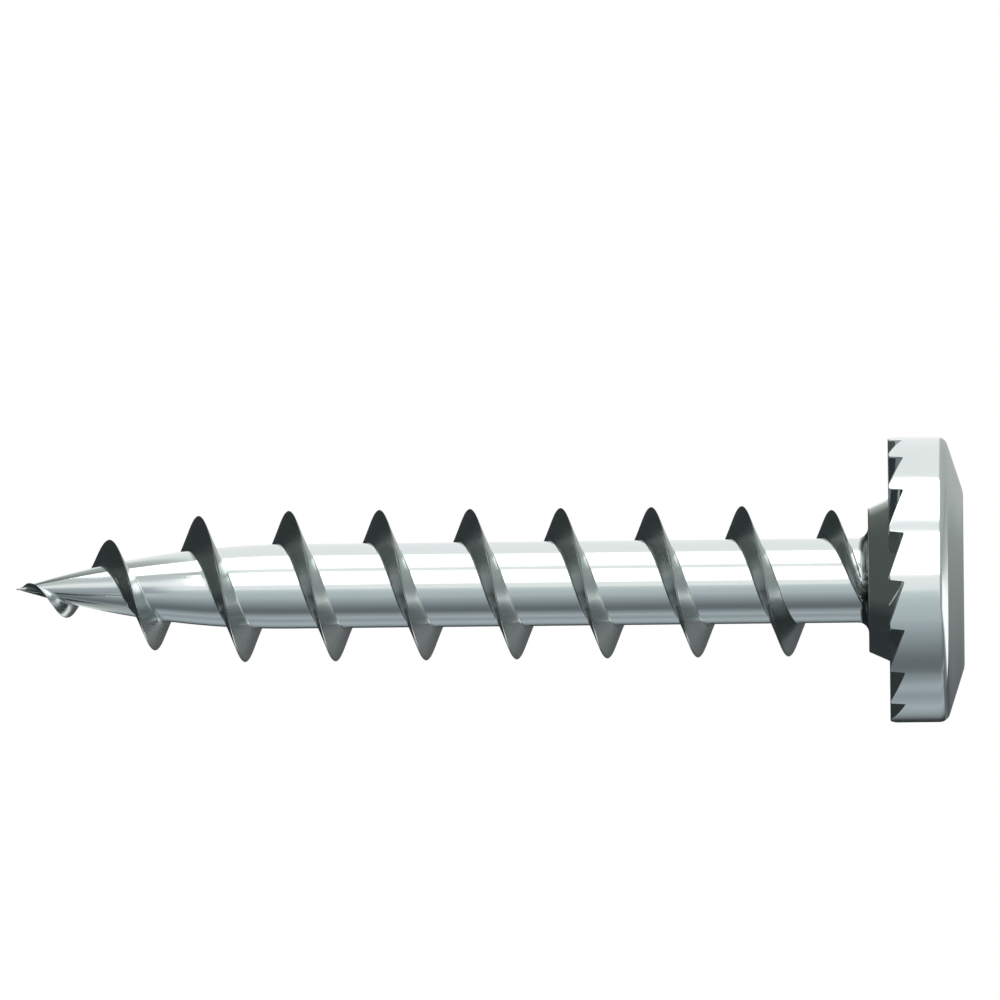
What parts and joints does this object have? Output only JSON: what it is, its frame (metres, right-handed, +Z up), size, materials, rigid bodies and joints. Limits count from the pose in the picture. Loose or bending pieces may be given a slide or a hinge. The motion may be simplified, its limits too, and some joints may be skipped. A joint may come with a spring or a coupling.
{
  "type": "pan head sharp point screw",
  "caption": "Pan head wood screw with a cross recess, locking teeth and a conical collar under the head, a coarse single-start thread and a sharp threaded point.",
  "frame": {"origin": "on the ground under the middle of the lying screw", "axes": "+X from the tip towards the head, +Z up; the screw's axis lies in the XZ plane and rises 5.97 degrees towards the head, because the screw lies on the rim of its head and on one crest of its thread"},
  "size_m": [0.0316, 0.0094, 0.0096],
  "materials": {
    "zinc_plated_steel": "bright zinc plating with a faintly bluish clear film, smooth as rolled"
  },
  "bodies": {
    "root": {"screw": "zinc_plated_steel"}
  },
  "joints": []
}
